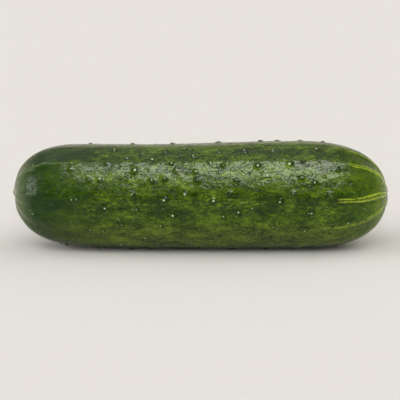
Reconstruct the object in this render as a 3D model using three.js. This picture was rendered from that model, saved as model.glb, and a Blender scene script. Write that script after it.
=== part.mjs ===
// A garden cucumber, as picked, lying on its flattest side. It grew as one piece, so it is one
// solid: the rounded stem end points to -X, the blossom end to +X, and +Z is up.
// Sizes are in millimetres. The origin is on the surface it lies on, under the middle of its box.
import * as THREE from "three";

// Driving dimensions.
const LENGTH = 180; // from scar to scar
const GIRTH = [25.5, 1.02, -0.38]; // radius of the body, as powers of t
const AXIS_HEIGHT = [24.85, 0.84, 0.64, -1.58]; // height of the middle line, as powers of t
const SIDE_BOW = 1.6; // how far the ends swing towards +Y
const WIDER = 1.015; // width over height, as it has settled under its own weight
const LOBE = 0.008; // the three seed chambers swell the outline by this share of the radius

// Each end closes as a superellipse: reach is how far from the tip the rounding starts, and power
// is how blunt the tip is.
const LENGTHWISE_POWER = 4; // the same for both ends
const STEM_END = { reach: 43.4, power: 1.78, scarRadius: 4.2, scarHeight: 0.5 };
const BLOSSOM_END = { reach: 55.6, power: 1.72, scarRadius: 5.2, scarHeight: 0.3 };
const SCAR_SLOPE = 0.9; // width of the slope round each scar

// Ribs run from end to end. Angles are in degrees about X, from -Y (the front) over +Z (the top).
const RIB_ANGLES = [-53, -19, 10, 50, 77, 113, 149, 187, 226, 266];
const FACET_DEPTH = { middle: 0.32, ends: 0.75 }; // how much lower it is midway between two ribs
const FACET_ONSET = 3; // the higher, the closer to the ends the facets deepen
const CREST_ROUNDING = 0.2; // share of a facet's half-width taken by the rounding of its rib

// Mesh resolution.
const STATIONS = 46;
const SIDES = 60;

const BODY_LENGTH = LENGTH - STEM_END.scarHeight - BLOSSOM_END.scarHeight;

// Sums factors[0] + factors[1] * t + factors[2] * t ** 2 and so on, where t runs from -1 at the
// stem tip to 1 at the blossom tip.
const polynomial = (factors, t) => factors.reduce((sum, factor, power) => sum + factor * t ** power, 0);

// The share of the body's radius that is left at a distance from a tip.
function closing(fromTip, end) {
  const inwards = THREE.MathUtils.clamp(1 - fromTip / end.reach, 0, 1);
  return (1 - inwards ** LENGTHWISE_POWER) ** (1 / end.power);
}

// 0 on a rib's crest and 1 midway between two ribs, with the crest rounded off.
function betweenRibs(degrees) {
  const last = RIB_ANGLES.length - 1;
  const wrapped = THREE.MathUtils.euclideanModulo(degrees - RIB_ANGLES[0], 360) + RIB_ANGLES[0];
  const next = RIB_ANGLES.findIndex((angle) => angle > wrapped);
  const low = RIB_ANGLES[next < 0 ? last : next - 1];
  const high = next < 0 ? RIB_ANGLES[0] + 360 : RIB_ANGLES[next];
  const nearest = Math.min(wrapped - low, high - wrapped) / ((high - low) / 2);
  const rounded = Math.hypot(nearest, CREST_ROUNDING) - CREST_ROUNDING;
  return rounded / (Math.hypot(1, CREST_ROUNDING) - CREST_ROUNDING);
}

// How far the skin lies below the round body, for the facets between the ribs.
function facetDip(t, degrees) {
  const depth = THREE.MathUtils.lerp(FACET_DEPTH.middle, FACET_DEPTH.ends, Math.abs(t) ** FACET_ONSET);
  const across = betweenRibs(degrees);
  return depth * across * (2 - across);
}

// The scar stands a little proud of the tip, so that the tip's plateau is flat and has an edge.
function scarRise(radius, end) {
  const beyond = THREE.MathUtils.smoothstep(radius, end.scarRadius - SCAR_SLOPE, end.scarRadius);
  return end.scarHeight * (1 - beyond);
}

function skinPoint(fromStemTip, degrees) {
  const t = (2 * fromStemTip) / BODY_LENGTH - 1;
  const angle = THREE.MathUtils.degToRad(degrees);
  const close = closing(fromStemTip, STEM_END) * closing(BODY_LENGTH - fromStemTip, BLOSSOM_END);
  const lobes = 1 - LOBE * Math.sin(3 * angle); // one lobe on top, a flatter side below
  const radius = (polynomial(GIRTH, t) * lobes - facetDip(t, degrees)) * close;
  const rise = t < 0 ? -scarRise(radius, STEM_END) : scarRise(radius, BLOSSOM_END);
  const x = fromStemTip + rise;
  const y = SIDE_BOW * t ** 2 - radius * WIDER * Math.cos(angle);
  const z = polynomial(AXIS_HEIGHT, t) + radius * Math.sin(angle);
  return [x, y, Math.max(z, 0)]; // where it bears on the surface it is pressed flat
}

// Rings of points from tip to tip, closer together towards the tips, and a point on each tip.
function cucumberGeometry() {
  const positions = [...skinPoint(0, 0)];
  for (let station = 1; station < STATIONS; station++) {
    const fromStemTip = (BODY_LENGTH * (1 - Math.cos((Math.PI * station) / STATIONS))) / 2;
    for (let side = 0; side < SIDES; side++) {
      positions.push(...skinPoint(fromStemTip, (360 * side) / SIDES));
    }
  }
  positions.push(...skinPoint(BODY_LENGTH, 0));

  const corner = (ring, side) => 1 + ring * SIDES + (side % SIDES);
  const lastRing = STATIONS - 2;
  const blossomTip = positions.length / 3 - 1;
  const triangles = [];
  for (let side = 0; side < SIDES; side++) {
    triangles.push(0, corner(0, side), corner(0, side + 1));
    for (let ring = 0; ring < lastRing; ring++) {
      const [a, b] = [corner(ring, side), corner(ring, side + 1)];
      const [c, d] = [corner(ring + 1, side), corner(ring + 1, side + 1)];
      triangles.push(a, c, b, b, c, d);
    }
    triangles.push(blossomTip, corner(lastRing, side + 1), corner(lastRing, side));
  }

  const geometry = new THREE.BufferGeometry();
  geometry.setAttribute("position", new THREE.Float32BufferAttribute(positions, 3));
  geometry.setIndex(triangles);
  return geometry;
}

// Puts the middle of the box over the origin, with the lowest face at height 0.
function stoodOnOrigin(geometry) {
  geometry.computeBoundingBox();
  const centre = geometry.boundingBox.getCenter(new THREE.Vector3());
  geometry.translate(-centre.x, -centre.y, -geometry.boundingBox.min.z);
  geometry.computeVertexNormals();
  return geometry;
}

const skin = new THREE.MeshStandardMaterial({ color: 0x3f5f1e, roughness: 0.38, metalness: 0 });
const cucumber = new THREE.Mesh(stoodOnOrigin(cucumberGeometry()), skin);
cucumber.name = "cucumber";

const part = new THREE.Group();
part.add(cucumber);

export default part;
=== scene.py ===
import math
import random

import bmesh
import bpy
import numpy as np
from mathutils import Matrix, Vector, noise


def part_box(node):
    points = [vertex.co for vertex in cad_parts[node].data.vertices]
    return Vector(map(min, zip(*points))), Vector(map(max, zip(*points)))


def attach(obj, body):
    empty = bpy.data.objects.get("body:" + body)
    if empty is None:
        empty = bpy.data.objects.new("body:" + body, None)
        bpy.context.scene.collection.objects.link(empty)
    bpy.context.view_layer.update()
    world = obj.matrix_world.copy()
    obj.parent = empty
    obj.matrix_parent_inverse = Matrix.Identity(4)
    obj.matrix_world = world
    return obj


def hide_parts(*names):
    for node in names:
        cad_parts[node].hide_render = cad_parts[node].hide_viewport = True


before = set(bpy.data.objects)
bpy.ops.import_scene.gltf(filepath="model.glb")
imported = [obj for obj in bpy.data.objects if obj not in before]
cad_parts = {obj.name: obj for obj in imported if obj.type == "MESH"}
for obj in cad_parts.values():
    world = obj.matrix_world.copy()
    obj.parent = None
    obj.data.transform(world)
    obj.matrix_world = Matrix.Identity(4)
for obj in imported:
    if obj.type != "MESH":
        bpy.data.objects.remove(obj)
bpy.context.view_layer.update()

# A garden cucumber. Shapes are worked out in millimetres and turned into metres at the end.
# Angles are in degrees about X, from -Y (the front) over +Z (the top), as in the CAD part.
MM = 0.001
LOW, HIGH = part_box("cucumber")
LENGTH = (HIGH.x - LOW.x) / MM
BODY_HEIGHT = (HIGH.z - LOW.z) / MM
TOP = 90.0
UNDERSIDE = -90.0

# The body, with the CAD part's proportions, though its tips are a little blunter.
GIRTH = [25.5, 1.02, -0.38]  # radius, as powers of t, which is -1 at the stem and 1 at the blossom
AXIS_HEIGHT = [24.85, 0.84, 0.64, -1.58]  # height of the middle line, as powers of t
SIDE_BOW = 1.6  # how far the ends swing towards +Y
BOW_CENTRE = 0.25  # the middle line crosses Y = 0 where t squared is this
WIDER = 1.015
LOBE = 0.008
LENGTHWISE_POWER = 4
STEM_END = {"reach": 43.4, "power": 1.86, "scar_radius": 4.0, "scar_height": 0.5}
BLOSSOM_END = {"reach": 55.6, "power": 1.88, "scar_radius": 5.0, "scar_height": 0.3}
SCAR_SLOPE = 0.7
TOP_SWELL, SWELL_AT, SWELL_SPACING = 0.25, 22, 106  # two slight swellings along the top

# Ribs, and how much lower the skin is midway between two of them.
RIBS = [-53, -19, 10, 50, 77, 113, 149, 187, 226, 266]
FACET_MIDDLE, FACET_ENDS = 0.32, 0.75
FACET_ONSET = 3  # the higher, the closer to the ends the facets deepen
CREST_ROUNDING = 0.3

# The skin's mesh.
RINGS = 264
SIDES = 200
OUTLINE_SAMPLES = 6000  # points of the outline along which the rings are evenly spaced
POLE_REACH = 0.1  # anything this near the axis of the unshaped grid is a tip

# Warts. Each is a dome with a pale nub on it and a moat round the nub, painted dark as shade.
WART_RADIUS = 2.5
WART_HEIGHT = 0.85
DOME_POWER = 2
NUB_RADIUS = 0.8
NUB_HEIGHT = 0.22
NUB_POWER = 1.5
NUB_SHIFT = 0.45  # how far a nub may sit from the middle of its wart
MOAT_RADIUS = 1.4 * NUB_RADIUS
MOAT_WIDTH = 0.55 * NUB_RADIUS
MOAT_DEPTH = 0.18
FINE_REACHES = (1.25 * WART_RADIUS, 1.5 * NUB_RADIUS)  # within each, the mesh is twice as fine

# How a wart's width, its nub's width and its nub's paleness grow with its size, as powers of it.
DOME_GROWTH = [0.55, 0.45]
NUB_GROWTH = [0.7, 0.3]
PALENESS_GROWTH = [0.3, 0.7]
PALENESS_SPREAD = (0.8, 1.1)
PALE_TOP = 1.25  # the higher, the wider the nub's palest part
NUB_SEED = 5

# The warts that show from the front: distance from the middle, angle, size.
FRONT_WARTS = [
    (-31, 40, 1.0), (-2, 29, 1.0), (5, 6, 0.9), (26, 44, 1.0), (41, 46, 0.9), (10, 45, 0.6),
    (4, 50, 0.6), (-17, 31, 0.8), (-23, 29, 0.8), (-47, 30, 0.7), (-45, -1, 0.8), (-32, 14, 0.7),
    (-17, 8, 0.9), (-8, 14, 0.7), (13, 14, 0.8), (16, 28, 0.7), (36, 6, 0.8), (42, 13, 0.8),
    (46, 30, 0.9), (52, 25, 0.8), (59, 12, 0.7), (-13, -9, 0.7), (-19, -20, 0.7), (-1, -26, 0.6),
    (33, -21, 0.7), (-3, 39, 0.7), (-41, 71, 0.7), (8, 66, 0.6), (-52, 29, 0.5), (47, 48, 0.5),
    (63, 40, 0.6), (-12, 40, 0.5), (-14, 49, 0.6), (-23, 56, 0.5), (-44, 49, 0.5), (-35, 31, 0.5),
    (20, 66, 0.6), (33, 67, 0.5), (16, 78, 0.5), (27, -6, 0.5), (51, -7, 0.5), (10, -10, 0.6),
    (17, -6, 0.5), (-30, -3, 0.5), (-52, -4, 0.5), (-38, -14, 0.6), (-37, -20, 0.5),
    (-52, -28, 0.5), (-46, -28, 0.5), (-26, -39, 0.6), (-9, -53, 0.6), (6, -52, 0.6),
    (23, -53, 0.5), (-38, -52, 0.5), (48, -27, 0.6), (68, -20, 0.5), (48, 3, 0.5), (-33, 100, 0.7),
    (-14, 100, 0.8), (8, 100, 0.9), (28, 99, 0.8), (36, 100, 0.8), (47, 100, 0.8), (58, 99, 0.7),
    (-61, 42, 0.4), (-58, 7, 0.4), (-17, 69, 0.5), (-8, 73, 0.5), (-4, 60, 0.6), (54, 69, 0.5),
    (-35, 58, 0.4), (-28, 66, 0.4),
]
FRONT = (-62, 108)  # those are between these angles, and the others are scattered over the rest
SCATTER_SEED = 11
SCATTER_TRIES = 2600
SCATTER_ALONG = (20, 164, 100)  # nearest to the stem tip, farthest from it, and where most are
SCATTER_SIZES = [0.5, 0.6, 0.7, 0.8, 0.9, 1.0]
WART_SPACING = 9.5  # the least distance from a scattered wart to any other

# The pale lines towards each end: angle, how far from the middle each starts, width, strength.
BLOSSOM_LINES = [
    (-53, 52, 0.5, 0.4), (-26, 46, 0.8, 0.7), (4, 58, 1.2, 1.0), (48, 64, 1.0, 1.0),
    (74, 56, 0.6, 0.8), (113, 52, 0.8, 0.9), (149, 60, 1.0, 1.0), (187, 50, 0.8, 0.7),
    (226, 56, 0.9, 0.9), (266, 46, 0.7, 0.6),
]
STEM_LINES = [
    (82, -58, 0.5, 0.8), (51, -50, 0.5, 0.6), (24, -78, 0.3, 0.25), (-4, -78, 0.3, 0.25),
    (-30, -76, 0.3, 0.3), (-62, -60, 0.6, 0.8), (113, -72, 0.4, 0.35), (149, -50, 0.5, 0.5),
    (187, -78, 0.3, 0.25), (226, -60, 0.5, 0.4), (266, -76, 0.3, 0.3),
]
LINE_WANDER = 9.0  # in degrees
LINE_RADII = (25, 9)  # the body's radius where a line is narrowest and widest as an angle
LINE_MEETING_LIFT = 2.0  # how far above the blossom tip its lines meet
LIFT_START, LIFT_STOP = LENGTH / 2 - 28, LENGTH / 2 - 2  # the places along X where that sets in

# Creases beside those lines.
GROOVE_REACH = 26  # from the tip
GROOVE_FULL = 0.3 * GROOVE_REACH
GROOVE_DEPTH = 0.28
GROOVE_WIDTH = 0.8
GROOVE_SHIFT = -7  # from the line, in degrees

# The scars. Depth in a scar runs from 0 at the edge of its dry skin to 1 at its centre.
SCAR_SPREAD = 1.2  # how far the dry skin spreads, as a share of the scar's radius
BLOSSOM_SCAR_LIFT = 1.2  # how far its centre lies above the body's middle line
STUB_HEIGHT = 0.4  # what is left of the stem, in the middle of its scar
STUB_SLOPE = (0.6, 0.85)
RIM_DIP = 0.25  # a ring round the stub
RIM_OUTER_SLOPE = (0.05, 0.2)
RIM_INNER_SLOPE = (0.7, 0.4)

# Uneven skin: the height of the lumps, how far apart they are along X, Y and Z, and a seed.
DENTS = [(0.18, (34, 15, 15), 3.1), (0.12, (11, 6, 6), 8.7)]
WRINKLES = [(0.12, (4.2, 2.6, 2.6), 1.3), (0.07, (2.2, 1.5, 1.5), 5.9)]
STEM_WRINKLES = 0.35  # the share of the wrinkles' height that is left at the stem tip
STEM_SMOOTH, STEM_ROUGH = 8, 40  # distances from the stem tip between which they grow

# Colours of the skin.
DEEP_GREEN = (0.011, 0.034, 0.001)
FRESH_GREEN = (0.046, 0.094, 0.003)
PALE_GREEN = (0.105, 0.168, 0.018)
# The underside's colour: partly paler skin, partly painted bounce and reflection of the floor.
OLIVE_AND_FLOOR_BOUNCE = (0.118, 0.130, 0.030)
STEM_GREEN = (0.003, 0.021, 0.001)
# Paler, greyer stem tip: partly its own colour, partly a painted sheen.
STEM_TIP_AND_SHEEN = (0.10, 0.13, 0.055)
BLOSSOM_GREEN = (0.044, 0.094, 0.001)
BLOSSOM_TIP = (0.19, 0.28, 0.012)
FLECK = (0.175, 0.275, 0.012)
# Dark flecks of the skin; the same dark is also painted into the creases as shade.
DARK_FLECK_AND_CREASE_SHADE = (0.004, 0.016, 0.0005)
LINE = (0.40, 0.52, 0.03)
STEM_LINE = (0.20, 0.27, 0.09)
# Painted shade for the moats round the warts' nubs.
MOAT_SHADE = (0.004, 0.014, 0.001)
PALE_TIP = (0.55, 0.66, 0.42)
STEM_SCAR = (0.30, 0.33, 0.14)
STEM_SCAR_BROWN = (0.13, 0.12, 0.05)
CORK = (0.36, 0.26, 0.12)
CORK_BROWN = (0.16, 0.09, 0.04)

# Greens that take over towards the ends: where each starts, where it is full, its largest share.
END_GREENS = [
    (STEM_GREEN, -30.0, -84.0, 0.85),
    (STEM_TIP_AND_SHEEN, -77.0, -89.0, 0.75),
    (BLOSSOM_GREEN, 58.0, 82.0, 0.8),
    (BLOSSOM_TIP, 78.0, 88.0, 0.6),
]
FLANKS = 6  # pale flanks round the fruit
PALE_FLANK = 32  # the angle of one of them

# Layers of fine marks: colour, how many lie along a millimetre, how strongly they show at most.
MARKS = [
    (FLECK, 0.14, 0.4),
    (FLECK, 0.26, 0.55),
    (DARK_FLECK_AND_CREASE_SHADE, 0.19, 0.65),
    (FLECK, 0.55, 0.6),
    (DARK_FLECK_AND_CREASE_SHADE, 0.4, 0.9),
    (FLECK, 1.0, 0.45),
    (DARK_FLECK_AND_CREASE_SHADE, 0.9, 0.75),
]
MARK_STRETCH = 2  # a mark's length over its width
MARK_SHIFT = 100.0  # moves each layer along, so that no two line up
MARK_NOISE = (5.0, 0.7, 1.0)  # detail, roughness, distortion
MARK_EDGE = (0.49, 0.63)  # the noise at which a mark starts and is full
LIGHT_CROWDING = (0.36, 0.65)  # the crowding at which light marks are few, and many
DARK_CROWDING = (0.66, 0.38)
SPARSE = 0.2  # how strongly marks show where they are few, as a share of where they are many
SPECKS_PER_MM = 0.42

# Patterns of noise: lumps per millimetre along X, Y and Z, detail, roughness, distortion.
CLOUDS = ((0.035, 0.09, 0.09), 3.0, 0.6, 0.0)
STREAKS = ((0.12, 0.45, 0.45), 4.0, 0.7, 0.0)
CROWDING = ((0.08, 0.2, 0.2), 3.0, 0.6, 0.0)
WANDER = ((0.09, 0.03, 0.03), 2.0, 0.5, 0.0)
BREAKS = ((0.35, 0.2, 0.2), 2.0, 0.6, 0.0)
BEADS = ((0.9, 1.2, 1.2), 2.0, 0.6, 0.0)
FRAY = ((0.8, 0.8, 0.8), 3.0, 0.7, 0.0)
MOTTLE = ((0.5, 0.6, 0.6), 4.0, 0.8, 0.0)
FOLDS = ((0.22, 0.34, 0.34), 2.0, 0.5, 1.6)
GRAIN = ((0.9, 1.3, 1.3), 1.0, 0.5, 0.0)
WAX = ((0.12, 0.2, 0.2), 2.0, 0.5, 0.0)

# Fine relief, in millimetres.
FOLD_HEIGHT = 0.19
CREASE_DEPTH = 0.18
CREASE_EDGE = 0.035  # how far the folds' noise is from its middle at the edge of a crease
# How strongly the creases are darkened in the colour: painted shade in the creases.
CREASE_SHADE = 0.5
GRAIN_HEIGHT = 0.09

# The wax on the skin: roughness where it is thick and thin, and what the stem end adds.
WAX_ROUGHNESS = (0.12, 0.19)
STEM_ROUGHNESS = 0.06

# The camera and the studio.
VIEW_OVER_LENGTH = 1.0655  # width of the view over the cucumber's length
LENS, SENSOR_WIDTH = 120, 36
CAMERA_ELEVATION = 12
AIM_X, AIM_HEIGHT = -0.3, 0.447  # in millimetres, and as a share of the body's height
FLOOR_REACH = 6.0  # in metres
FLOOR_COLOUR = (0.690, 0.669, 0.630)
DIM_SKY = (0.06, 0.06, 0.06)
SKY_BEHIND = (0.80, 0.72, 0.66)
BACKDROP = (0.787, 0.758, 0.722)

# Distant lamps: azimuth (0 in front, 90 at the blossom end), elevation, width in degrees, strength,
# and whether each lights surfaces, shows in reflections or does both.
LAMPS = [
    ("front_softbox", 25, 65, 43, 4.6, "reflections"),
    ("front_fill", 0, 35, 56, 1.75, "lighting"),
    ("overhead_diffuser", 0, 82, 90, 0.6, "lighting"),
    ("overhead_gleam", -141, 77, 62, 0.8, "reflections"),
    ("side_lamp", -79, 14, 31, 1.4, "both"),
    ("blossom_side_fill", 95, 30, 80, 1.35, "lighting"),
    ("stem_side_fill", -78, 28, 80, 1.15, "lighting"),
]


# ---- The body's shape ----

def polynomial(factors, t):
    return sum(factor * t**power for power, factor in enumerate(factors))


def smooth(value, start, stop):
    """0 up to start and 1 from stop on, with a soft change between."""
    share = np.clip((value - start) / (stop - start), 0, 1)
    return share * share * (3 - 2 * share)


def closing(from_tip, end):
    """The share of the body's radius that is left at a distance from a tip."""
    inwards = np.clip(1 - from_tip / end["reach"], 0, 1)
    return (1 - inwards**LENGTHWISE_POWER) ** (1 / end["power"])


def body_length():
    return LENGTH - STEM_END["scar_height"] - BLOSSOM_END["scar_height"]


def middle_line(t):
    """Y and Z of the line through the middle of the body."""
    return SIDE_BOW * (t**2 - BOW_CENTRE), polynomial(AXIS_HEIGHT, t)


def between_ribs(degrees):
    """0 on a rib's crest and 1 midway between two ribs, with the crest rounded off."""
    ribs = np.array(RIBS + [RIBS[0] + 360])
    turned = (degrees - ribs[0]) % 360 + ribs[0]
    lower = np.clip(np.searchsorted(ribs, turned, side="right") - 1, 0, len(RIBS) - 1)
    half_gap = (ribs[lower + 1] - ribs[lower]) / 2
    nearest = np.minimum(turned - ribs[lower], ribs[lower + 1] - turned) / half_gap
    rounded = np.hypot(nearest, CREST_ROUNDING) - CREST_ROUNDING
    return rounded / (math.hypot(1, CREST_ROUNDING) - CREST_ROUNDING)


def facet_dip(t, degrees):
    """How far the skin lies below the round body, for the facets between the ribs."""
    across = between_ribs(degrees)
    depth = FACET_MIDDLE + (FACET_ENDS - FACET_MIDDLE) * abs(t) ** FACET_ONSET
    return depth * across * (2 - across)


def scar_rise(radius, end):
    beyond = smooth(radius, end["scar_radius"] - SCAR_SLOPE, end["scar_radius"])
    return end["scar_height"] * (1 - beyond)


def body_points(from_stem, degrees):
    """Points of the smooth body, before any wart or wrinkle."""
    t = 2 * from_stem / body_length() - 1
    angle = np.radians(degrees)
    close = closing(from_stem, STEM_END) * closing(body_length() - from_stem, BLOSSOM_END)
    waves = np.cos(2 * math.pi * (from_stem - SWELL_AT) / SWELL_SPACING)
    swell = TOP_SWELL * waves * np.clip(np.sin(angle), 0, 1)
    round_body = polynomial(GIRTH, t) * (1 - LOBE * np.sin(3 * angle))
    radius = (round_body - facet_dip(t, degrees) + swell) * close
    rise = np.where(t < 0, -scar_rise(radius, STEM_END), scar_rise(radius, BLOSSOM_END))
    middle_y, middle_z = middle_line(t)
    x = from_stem - LENGTH / 2 + STEM_END["scar_height"] + rise
    y = middle_y - radius * WIDER * np.cos(angle)
    z = middle_z + radius * np.sin(angle)
    return np.stack([x, y, z], axis=-1)


def body_point(from_stem, degrees):
    return Vector(body_points(np.array(float(from_stem)), np.array(float(degrees))))


def even_stations():
    """Distances from the stem tip whose rings lie evenly along the skin, tips included."""
    turn = np.linspace(0, math.pi, OUTLINE_SAMPLES)
    along = body_length() * (1 - np.cos(turn)) / 2
    outline = body_points(along, np.full_like(along, TOP))
    steps = np.linalg.norm(np.diff(outline, axis=0), axis=1)
    run = np.concatenate([[0], np.cumsum(steps)])
    return np.interp(np.linspace(0, run[-1], RINGS + 1), run, along)


# ---- Warts ----

def place_warts():
    """Every wart's size and place: listed in front, scattered behind."""
    sizes = [size for _, _, size in FRONT_WARTS]
    places = [body_point(x + LENGTH / 2, degrees) for x, degrees, _ in FRONT_WARTS]
    draw = random.Random(SCATTER_SEED)
    for _ in range(SCATTER_TRIES):
        from_stem = draw.triangular(*SCATTER_ALONG)
        degrees = draw.uniform(FRONT[1], FRONT[0] + 360)
        size = draw.choice(SCATTER_SIZES)
        place = body_point(from_stem, degrees)
        if all((place - other).length > WART_SPACING for other in places):
            sizes.append(size)
            places.append(place)
    return sizes, places


def wart_relief(points, sizes, places):
    """Height of the warts at each point, and how much of a nub and of a moat's painted shade each
    point is.
    """
    height, nub_mask, moat_shade_mask = (np.zeros(len(points)) for _ in range(3))
    draw = random.Random(NUB_SEED)
    for size, place in zip(sizes, places):
        distance = np.linalg.norm(points - np.array(place), axis=1)
        near = distance < 2 * WART_RADIUS
        dome_radius = WART_RADIUS * polynomial(DOME_GROWTH, size)
        dome = np.clip(1 - (distance[near] / dome_radius) ** 2, 0, 1) ** DOME_POWER

        shift = [draw.uniform(-NUB_SHIFT, NUB_SHIFT) for _ in range(3)]
        from_nub = np.linalg.norm(points[near] - np.array(place) - shift, axis=1)
        nub_radius = NUB_RADIUS * polynomial(NUB_GROWTH, size)
        nub = np.clip(1 - (from_nub / nub_radius) ** 2, 0, 1) ** NUB_POWER
        # The moat is off to the other side, so that it's deeper, and its painted shade darker, on
        # one side of the nub.
        from_moat = np.linalg.norm(points[near] - np.array(place) + shift, axis=1)
        moat = np.exp(-(((from_moat - MOAT_RADIUS) / MOAT_WIDTH) ** 2))

        height[near] += size * (WART_HEIGHT * dome + NUB_HEIGHT * nub - MOAT_DEPTH * moat)
        paleness = draw.uniform(*PALENESS_SPREAD) * polynomial(PALENESS_GROWTH, size)
        pale = np.clip(PALE_TOP * nub, 0, 1) * paleness
        nub_mask[near] = np.maximum(nub_mask[near], pale)
        moat_shade_mask[near] = np.maximum(moat_shade_mask[near], moat * size)
    return height, nub_mask, moat_shade_mask


# ---- Other relief ----

def lumps(points, layers):
    """Layers of smooth noise on top of each other, each as much below 0 as above it."""
    total = np.zeros(len(points))
    for height, size, seed in layers:
        scaled = points / np.array(size) + seed
        total += height * np.array([noise.noise(Vector(point)) for point in scaled])
    return total


def angle_around(points):
    """Angle of each point seen from the line on which the pale lines of each end meet."""
    middle_y, middle_z = middle_line(points[:, 0] / (LENGTH / 2))
    lift = LINE_MEETING_LIFT * smooth(points[:, 0], LIFT_START, LIFT_STOP)
    up = points[:, 2] - middle_z - lift
    out = -(points[:, 1] - middle_y)
    return np.degrees(np.arctan2(up, out))


def end_grooves(points, around):
    """Height of the creases that run into the two scars, beside the pale lines."""
    height = np.zeros(len(points))
    radius = np.hypot(points[:, 1], points[:, 2] - AXIS_HEIGHT[0])
    for lines, tip in ((STEM_LINES, -LENGTH / 2), (BLOSSOM_LINES, LENGTH / 2)):
        near = smooth(abs(points[:, 0] - tip), GROOVE_REACH, GROOVE_FULL)
        for degrees, *_ in lines:
            off = np.radians((around - degrees - GROOVE_SHIFT + 180) % 360 - 180) * radius
            height -= GROOVE_DEPTH * near * np.exp(-((off / GROOVE_WIDTH) ** 2))
    return height


def depth_in_scar(points, end, x, lift):
    middle_y, middle_z = middle_line(x / (LENGTH / 2))
    centre = np.array([x, middle_y, middle_z + lift])
    return 1 - np.linalg.norm(points - centre, axis=1) / (SCAR_SPREAD * end["scar_radius"])


def stub_relief(depth):
    rim = smooth(depth, *RIM_OUTER_SLOPE) * smooth(depth, *RIM_INNER_SLOPE)
    return STUB_HEIGHT * smooth(depth, *STUB_SLOPE) - RIM_DIP * rim


# ---- Mesh ----

def closed_grid(stations):
    """Rings of faces round the X axis, not yet shaped: x is a ring's number in the stations."""
    bm = bmesh.new()
    turns = [2 * math.pi * side / SIDES for side in range(SIDES)]
    rings = []
    for ring in range(1, len(stations) - 1):
        rings.append([bm.verts.new((ring, -math.cos(turn), math.sin(turn))) for turn in turns])
    stem = bm.verts.new((0, 0, 0))
    blossom = bm.verts.new((len(stations) - 1, 0, 0))
    for side in range(SIDES):
        after = (side + 1) % SIDES
        bm.faces.new((stem, rings[0][side], rings[0][after]))
        bm.faces.new((blossom, rings[-1][after], rings[-1][side]))
        for one, two in zip(rings, rings[1:]):
            bm.faces.new((one[side], two[side], two[after], one[after]))
    return bm


def station_and_angle(coordinates, stations):
    from_stem = np.interp(coordinates[:, 0], np.arange(len(stations)), stations)
    degrees = np.degrees(np.arctan2(coordinates[:, 2], -coordinates[:, 1]))
    return from_stem, degrees


def refine(bm, stations, places, reach):
    """Cuts each face near a wart's centre into four, apart from the triangles at the tips."""
    bm.faces.ensure_lookup_table()
    centres = np.array([face.calc_center_median() for face in bm.faces])
    points = body_points(*station_and_angle(centres, stations))
    near = np.zeros(len(points), bool)
    for place in places:
        near |= np.linalg.norm(points - np.array(place), axis=1) < reach
    last = len(stations) - 2
    near &= (centres[:, 0] > 1) & (centres[:, 0] < last)
    edges = {edge for face, wanted in zip(bm.faces, near) if wanted for edge in face.edges}
    bmesh.ops.subdivide_edges(bm, edges=list(edges), cuts=1, use_grid_fill=True)


def add_float(mesh, name, values):
    attribute = mesh.attributes.new(name, "FLOAT", "POINT")
    attribute.data.foreach_set("value", np.asarray(values, np.float32))


def add_bake_map(mesh, coordinates):
    """Unrolls the skin: U from tip to tip, V round it, with the seam along the underside."""
    uv = mesh.uv_layers.new(name="OFBake")
    corners = np.empty(len(mesh.loops), np.int32)
    mesh.loops.foreach_get("vertex_index", corners)
    u = coordinates[corners, 0] / coordinates[:, 0].max()
    turned = np.degrees(np.arctan2(coordinates[:, 2], -coordinates[:, 1]))
    v = ((turned[corners] - UNDERSIDE) % 360) / 360
    v[v > 1 - 1e-6] = 0  # a point on the seam may come out just below 1
    pole = np.hypot(coordinates[corners, 1], coordinates[corners, 2]) < POLE_REACH
    for face in mesh.polygons:
        loops = slice(face.loop_start, face.loop_start + face.loop_total)
        span, at_pole = v[loops], pole[loops]
        if span[~at_pole].max() - span[~at_pole].min() > 0.5:
            span[span < 0.5] += 1  # the face that closes the ring
        span[at_pole] = span[~at_pole].mean()
    uv.data.foreach_set("uv", np.stack([u, v], axis=-1).ravel().astype(np.float32))


def unshaped_mesh(stations, places):
    """The grid, finer round the warts, and its points before they have the fruit's shape."""
    bm = closed_grid(stations)
    for reach in FINE_REACHES:
        refine(bm, stations, places, reach)
    bmesh.ops.recalc_face_normals(bm, faces=bm.faces)
    mesh = bpy.data.meshes.new("cucumber_skin")
    bm.to_mesh(mesh)
    bm.free()

    coordinates = np.empty(len(mesh.vertices) * 3)
    mesh.vertices.foreach_get("co", coordinates)
    return mesh, coordinates.reshape(-1, 3)


def move_points(mesh, points):
    mesh.vertices.foreach_set("co", points.ravel())
    mesh.update()


def make_skin():
    stations = even_stations()
    sizes, places = place_warts()
    mesh, coordinates = unshaped_mesh(stations, places)
    from_stem, degrees = station_and_angle(coordinates, stations)
    body = body_points(from_stem, degrees)
    move_points(mesh, body)
    normals = np.array([vertex.normal for vertex in mesh.vertices])

    around = angle_around(body)
    warts, nub, moat = wart_relief(body, sizes, places)
    stem_scar = depth_in_scar(body, STEM_END, -LENGTH / 2, 0)
    blossom_scar = depth_in_scar(body, BLOSSOM_END, LENGTH / 2, BLOSSOM_SCAR_LIFT)
    growth = smooth(from_stem, STEM_SMOOTH, STEM_ROUGH)
    wrinkles = lumps(body, WRINKLES) * (STEM_WRINKLES + (1 - STEM_WRINKLES) * growth)
    grooves = end_grooves(body, around)
    relief = wrinkles + warts + grooves + stub_relief(stem_scar) - lumps(body, DENTS)
    points = body + normals * relief[:, None]
    points[:, 2] = np.maximum(points[:, 2], 0)
    mesh.shade_smooth()
    move_points(mesh, points * MM)

    add_bake_map(mesh, coordinates)
    add_float(mesh, "nub", nub)
    add_float(mesh, "moat", moat)
    add_float(mesh, "around", around)
    add_float(mesh, "stem_scar", stem_scar)
    add_float(mesh, "blossom_scar", blossom_scar)
    skin = bpy.data.objects.new("cucumber_skin", mesh)
    bpy.context.scene.collection.objects.link(skin)
    return skin


# ---- Material ----

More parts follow.
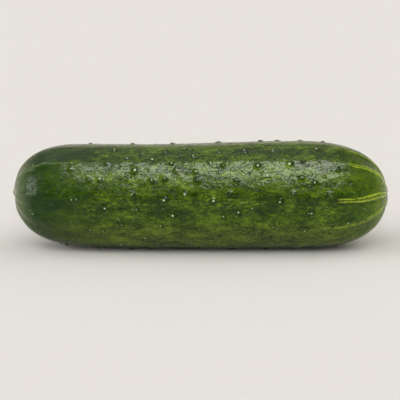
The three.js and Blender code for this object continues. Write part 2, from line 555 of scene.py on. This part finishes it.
class Nodes:
    """Short calls for adding shader nodes to a material or a world and joining them."""

    def __init__(self, owner):
        owner.use_nodes = True
        self.tree = owner.node_tree
        self.tree.nodes.clear()

    def put(self, socket, value):
        """Joins value to the socket if it is a socket, and otherwise sets it there."""
        if isinstance(value, bpy.types.NodeSocket):
            self.tree.links.new(value, socket)
        elif isinstance(value, tuple) and len(value) == 3 and socket.type == "RGBA":
            socket.default_value = (*value, 1.0)
        else:
            socket.default_value = value

    def add(self, kind, inputs=(), **settings):
        node = self.tree.nodes.new(kind)
        for name, value in settings.items():
            setattr(node, name, value)
        for name, value in dict(inputs).items():
            self.put(node.inputs[name], value)
        return node

    def output(self, kind, shader):
        """Joins a shader to a material's or a world's output."""
        self.put(self.add(kind).inputs["Surface"], shader.outputs[0])

    def maths(self, operation, one, two=0.0):
        return self.add("ShaderNodeMath", {0: one, 1: two}, operation=operation).outputs[0]

    def product(self, *values):
        """The values multiplied by each other, from first to last."""
        result = values[0]
        for value in values[1:]:
            result = self.maths("MULTIPLY", result, value)
        return result

    def attribute(self, name):
        return self.add("ShaderNodeAttribute", attribute_name=name).outputs["Fac"]

    def part(self, vector, axis):
        return self.add("ShaderNodeSeparateXYZ", {"Vector": vector}).outputs[axis]

    def ramp(self, value, start, stop, low=0.0, high=1.0):
        """Soft change from low to high while value goes from start to stop."""
        inputs = {"Value": value, "From Min": start, "From Max": stop, "To Min": low,
                  "To Max": high}
        return self.add("ShaderNodeMapRange", inputs, interpolation_type="SMOOTHSTEP").outputs[0]

    def stretch(self, vector, scale):
        return self.add("ShaderNodeMapping", {"Vector": vector, "Scale": scale}).outputs[0]

    def noise(self, place, pattern):
        scale, detail, roughness, distortion = pattern
        inputs = {"Vector": self.stretch(place, scale), "Scale": 1.0, "Detail": detail,
                  "Roughness": roughness, "Distortion": distortion}
        return self.add("ShaderNodeTexNoise", inputs).outputs["Fac"]

    def blend(self, factor, one, two):
        node = self.add("ShaderNodeMix", data_type="RGBA")
        self.put(node.inputs["Factor"], factor)
        self.put(node.inputs["A"], one)
        self.put(node.inputs["B"], two)
        return node.outputs["Result"]


def green_skin(nodes, place, x, around):
    """Deep green with lighter streaks and flanks, and other greens towards the ends."""
    clouds = nodes.ramp(nodes.noise(place, CLOUDS), 0.35, 0.68)
    noise_of_streaks = nodes.noise(place, STREAKS)
    streaks = nodes.ramp(noise_of_streaks, 0.40, 0.60, 0.0, 0.9)
    colour = nodes.blend(clouds, DEEP_GREEN, FRESH_GREEN)
    colour = nodes.blend(streaks, colour, FRESH_GREEN)

    from_flank = nodes.maths("SUBTRACT", around, PALE_FLANK)
    waves = nodes.maths("COSINE", nodes.product(from_flank, math.radians(FLANKS)))
    waves = nodes.product(waves, nodes.ramp(noise_of_streaks, 0.35, 0.6, 0.35, 1.0))
    on_flank = nodes.ramp(waves, 0.25, 0.95, 0.0, 0.6)
    between_flanks = nodes.ramp(waves, -0.1, -0.7, 0.0, 0.9)
    colour = nodes.blend(on_flank, colour, PALE_GREEN)
    colour = nodes.blend(between_flanks, colour, DEEP_GREEN)

    # Lighter, browner underside: partly paler skin, partly painted bounce and reflection of the
    # floor.
    facing_up = nodes.maths("SINE", nodes.maths("RADIANS", around))
    underside_and_bounce = nodes.ramp(facing_up, -0.25, -0.7, 0.0, 0.55)
    colour = nodes.blend(underside_and_bounce, colour, OLIVE_AND_FLOOR_BOUNCE)
    for green, start, stop, share in END_GREENS:
        colour = nodes.blend(nodes.ramp(x, start, stop, 0.0, share), colour, green)
    return colour


def flecks(nodes, colour, place, x):
    """Fine marks along the fruit: light ones crowd where dark ones are few."""
    crowding = nodes.noise(place, CROWDING)
    for tint, scale, share in MARKS:
        few, many = LIGHT_CROWDING if tint == FLECK else DARK_CROWDING
        shift = (MARK_SHIFT * scale, 0.0, 0.0)
        shifted = nodes.add("ShaderNodeVectorMath", {0: place, 1: shift}).outputs[0]
        across = MARK_STRETCH * scale
        marks = nodes.noise(shifted, ((scale, across, across), *MARK_NOISE))
        amount = nodes.product(
            nodes.ramp(marks, *MARK_EDGE),
            nodes.ramp(crowding, few, many, SPARSE * share, share),
            nodes.ramp(x, -74.0, -32.0, 0.1, 1.0),  # they fade out towards the stem end
            nodes.ramp(x, 80.0, 58.0, 0.5, 1.0),  # and half out towards the blossom end
        )
        colour = nodes.blend(amount, colour, tint)
    return colour


def pale_specks(nodes, colour, place):
    """Pores about half a millimetre wide, roughly one to every square centimetre of skin."""
    inputs = {"Vector": place, "Scale": SPECKS_PER_MM, "Randomness": 1.0}
    cells = nodes.add("ShaderNodeTexVoronoi", inputs)
    brightness = nodes.part(cells.outputs["Color"], "X")
    spot = nodes.ramp(cells.outputs["Distance"], 0.16, 0.06)
    shown = nodes.ramp(brightness, 0.80, 1.0, 0.0, 0.8)
    return nodes.blend(nodes.product(spot, shown), colour, PALE_TIP)


def pale_line(nodes, x, around, breaks, beads, line, tip):
    """How much of a line's colour shows. It runs along a rib and breaks up away from the tip."""
    degrees, start, width, strength = line
    off_line = nodes.maths("PINGPONG", nodes.maths("SUBTRACT", around, degrees), 180.0)
    # The fruit narrows towards the tip, so a line of even width takes up a larger angle there.
    narrowest, widest = (math.degrees(width / radius) for radius in LINE_RADII)
    half_width = nodes.ramp(x, 0.75 * tip, 0.99 * tip, narrowest, widest)
    share = nodes.maths("DIVIDE", off_line, half_width)
    edge = nodes.ramp(share, 1.0, 0.5)
    core = nodes.ramp(share, 0.15, 0.5, 0.15, 1.0)  # darker along the middle of the line
    fade = nodes.ramp(x, start, start + 0.35 * (tip - start))
    beaded = nodes.ramp(beads, 0.36, 0.56, 0.35, 1.0)
    unbroken = nodes.ramp(nodes.maths("ADD", breaks, nodes.product(fade, 0.25)), 0.55, 0.70)
    return nodes.product(edge, core, fade, beaded, unbroken, strength)


def pale_lines(nodes, colour, place, x, around):
    wander = nodes.noise(place, WANDER)
    breaks = nodes.noise(place, BREAKS)
    beads = nodes.noise(place, BEADS)
    bend = nodes.product(nodes.maths("SUBTRACT", wander, 0.5), LINE_WANDER)
    bent = nodes.maths("ADD", around, bend)
    ends = ((BLOSSOM_LINES, LENGTH / 2, LINE), (STEM_LINES, -LENGTH / 2, STEM_LINE))
    for lines, tip, tint in ends:
        for line in lines:
            amount = pale_line(nodes, x, bent, breaks, beads, line, tip)
            colour = nodes.blend(amount, colour, tint)
    return colour


def wart_tips_and_moat_shade(nodes, colour):
    # Painted shade in the moat round each nub; the pale nub is the skin's own colour.
    moat = nodes.product(nodes.attribute("moat"), 0.9)
    nub = nodes.ramp(nodes.attribute("nub"), 0.2, 0.8, 0.0, 0.9)
    colour = nodes.blend(moat, colour, MOAT_SHADE)
    return nodes.blend(nub, colour, PALE_TIP)


def scars(nodes, colour, place):
    """Dry skin on both scars: mottled, browner in the middle and frayed at the edge."""
    fray = nodes.product(nodes.noise(place, FRAY), 0.35)
    mottle = nodes.ramp(nodes.noise(place, MOTTLE), 0.4, 0.62)
    tints = (("stem_scar", STEM_SCAR, STEM_SCAR_BROWN), ("blossom_scar", CORK, CORK_BROWN))
    for name, light, dark in tints:
        depth = nodes.attribute(name)
        middle = nodes.ramp(depth, 0.72, 0.85)
        inside = nodes.ramp(nodes.maths("ADD", depth, fray), 0.12, 0.26)
        dry = nodes.blend(mottle, light, dark)
        dry = nodes.blend(middle, dry, dark)
        colour = nodes.blend(inside, colour, dry)
    return colour


def fine_relief(nodes, place, x):
    """Height of folds, creases and grain, and how deep in a crease each place is."""
    folds = nodes.noise(place, FOLDS)
    # A crease runs wherever the folds cross their middle height.
    off_middle = nodes.maths("ABSOLUTE", nodes.maths("SUBTRACT", folds, 0.5))
    crease = nodes.ramp(off_middle, CREASE_EDGE, 0.0)
    height = nodes.product(folds, FOLD_HEIGHT)
    height = nodes.maths("SUBTRACT", height, nodes.product(crease, CREASE_DEPTH))
    grain = nodes.noise(place, GRAIN)
    height = nodes.maths("ADD", height, nodes.product(grain, GRAIN_HEIGHT))
    strength = nodes.ramp(x, -84.0, -56.0, 0.3, 1.0)  # the stem end is smoother
    return nodes.product(height, strength), nodes.product(crease, strength)


def wax_roughness(nodes, place, x):
    wax = nodes.ramp(nodes.noise(place, WAX), 0.3, 0.7, *WAX_ROUGHNESS)
    return nodes.maths("ADD", wax, nodes.ramp(x, -60.0, -80.0, 0.0, STEM_ROUGHNESS))


def skin_material():
    material = bpy.data.materials.new("cucumber_skin")
    nodes = Nodes(material)
    place = nodes.add("ShaderNodeTexCoord").outputs["Object"]
    place = nodes.stretch(place, (1 / MM, 1 / MM, 1 / MM))
    x = nodes.part(place, "X")
    around = nodes.attribute("around")

    colour = green_skin(nodes, place, x, around)
    colour = flecks(nodes, colour, place, x)
    height, crease = fine_relief(nodes, place, x)
    # Painted shade: the creases are darkened in the colour as well as sunk by the bump.
    colour = nodes.blend(nodes.product(crease, CREASE_SHADE), colour, DARK_FLECK_AND_CREASE_SHADE)
    colour = pale_specks(nodes, colour, place)
    colour = pale_lines(nodes, colour, place, x, around)
    colour = wart_tips_and_moat_shade(nodes, colour)
    colour = scars(nodes, colour, place)

    bump = nodes.add("ShaderNodeBump", {"Height": height, "Strength": 1.0, "Distance": MM})
    shader = nodes.add("ShaderNodeBsdfPrincipled", {
        "Base Color": colour,
        "Roughness": wax_roughness(nodes, place, x),
        "Normal": bump.outputs["Normal"],
        "Specular IOR Level": 0.2,
    })
    nodes.output("ShaderNodeOutputMaterial", shader)
    return material


# ---- Studio ----

def make_floor():
    """A plain pale floor, far larger than the view."""
    mesh = bpy.data.meshes.new("studio_floor")
    reach = FLOOR_REACH
    corners = [(-reach, -reach, 0), (reach, -reach, 0), (reach, reach, 0), (-reach, reach, 0)]
    mesh.from_pydata(corners, [], [(0, 1, 2, 3)])
    floor = bpy.data.objects.new("studio_floor", mesh)
    bpy.context.scene.collection.objects.link(floor)
    material = bpy.data.materials.new("studio_floor")
    nodes = Nodes(material)
    shader = nodes.add("ShaderNodeBsdfPrincipled", {
        "Base Color": FLOOR_COLOUR,
        "Roughness": 1.0,
        "Specular IOR Level": 0.0,
    })
    nodes.output("ShaderNodeOutputMaterial", shader)
    mesh.materials.append(material)


def direction_to(azimuth, elevation):
    """Azimuth 0 is in front of the cucumber and 90 is at its blossom end."""
    a, e = math.radians(azimuth), math.radians(elevation)
    return Vector((math.sin(a) * math.cos(e), -math.cos(a) * math.cos(e), math.sin(e)))


def make_lamp(name, azimuth, elevation, width, strength, use):
    lamp = bpy.data.lights.new(name, "SUN")
    lamp.energy = strength
    lamp.angle = math.radians(width)
    light = bpy.data.objects.new(name, lamp)
    light.rotation_euler = direction_to(azimuth, elevation).to_track_quat("Z", "Y").to_euler()
    light.visible_glossy = use != "lighting"
    light.visible_diffuse = use != "reflections"
    bpy.context.scene.collection.objects.link(light)


def make_world():
    """Pale all round for the camera, and a dimmer sky, brighter behind, for lighting."""
    world = bpy.data.worlds.new("studio_world")
    bpy.context.scene.world = world
    nodes = Nodes(world)
    direction = nodes.add("ShaderNodeTexCoord").outputs["Generated"]
    behind = nodes.ramp(nodes.part(direction, "Y"), 0.2, 0.9)
    low = nodes.ramp(nodes.part(direction, "Z"), 0.95, 0.45)
    sky = nodes.blend(nodes.product(behind, low), DIM_SKY, SKY_BEHIND)
    seen = nodes.add("ShaderNodeLightPath").outputs["Is Camera Ray"]
    colour = nodes.blend(seen, sky, BACKDROP)
    shader = nodes.add("ShaderNodeBackground", {"Color": colour, "Strength": 1.0})
    nodes.output("ShaderNodeOutputWorld", shader)


def make_camera():
    """Looks along +Y and a little down, from far enough to show the cucumber almost undistorted."""
    data = bpy.data.cameras.new("camera")
    data.lens = LENS
    data.sensor_width = SENSOR_WIDTH
    distance = VIEW_OVER_LENGTH * LENGTH * MM * LENS / SENSOR_WIDTH
    target = Vector((AIM_X * MM, 0, AIM_HEIGHT * BODY_HEIGHT * MM))
    back = direction_to(0, CAMERA_ELEVATION)
    camera = bpy.data.objects.new("camera", data)
    camera.location = target + back * distance
    camera.rotation_euler = back.to_track_quat("Z", "Y").to_euler()
    bpy.context.scene.collection.objects.link(camera)
    bpy.context.scene.camera = camera


skin = make_skin()
skin.data.materials.append(skin_material())
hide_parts("cucumber")
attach(skin, "root")

make_camera()
make_floor()
make_world()
for lamp_settings in LAMPS:
    make_lamp(*lamp_settings)
bpy.context.scene.view_settings.view_transform = "Standard"
